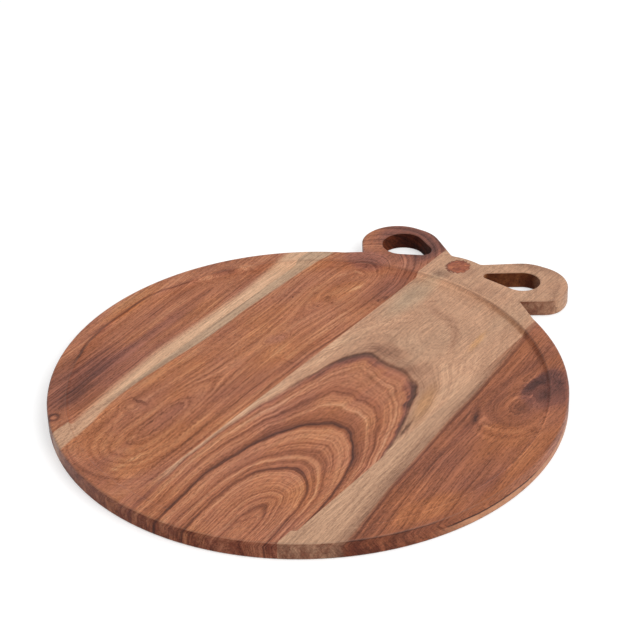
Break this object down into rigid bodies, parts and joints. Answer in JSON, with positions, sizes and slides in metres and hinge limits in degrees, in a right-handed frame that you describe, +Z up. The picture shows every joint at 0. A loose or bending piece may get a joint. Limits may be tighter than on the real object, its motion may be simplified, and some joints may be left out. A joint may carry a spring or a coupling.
{
  "type": "serving board",
  "caption": "Round wooden serving board with a shallow recess inside a raised rim and a bow-shaped handle with finger openings.",
  "frame": {"origin": "middle of the round disc, on the flat underside", "axes": "+Y along the grain from the disc's middle toward the bow handle, +Z up out of the recess, +X to the right"},
  "size_m": [0.4, 0.4502, 0.015],
  "materials": {
    "left_outer_wood": "oiled red-brown hardwood, satin",
    "left_inner_wood": "oiled red-brown hardwood, satin",
    "right_inner_wood": "oiled red-brown hardwood with pale sapwood, satin",
    "right_outer_wood": "oiled dark red-brown hardwood with a pale sapwood band, satin"
  },
  "bodies": {
    "root": {"left_outer_stave": "left_outer_wood", "left_inner_stave": "left_inner_wood", "right_inner_stave": "right_inner_wood", "right_outer_stave": "right_outer_wood"}
  },
  "joints": []
}
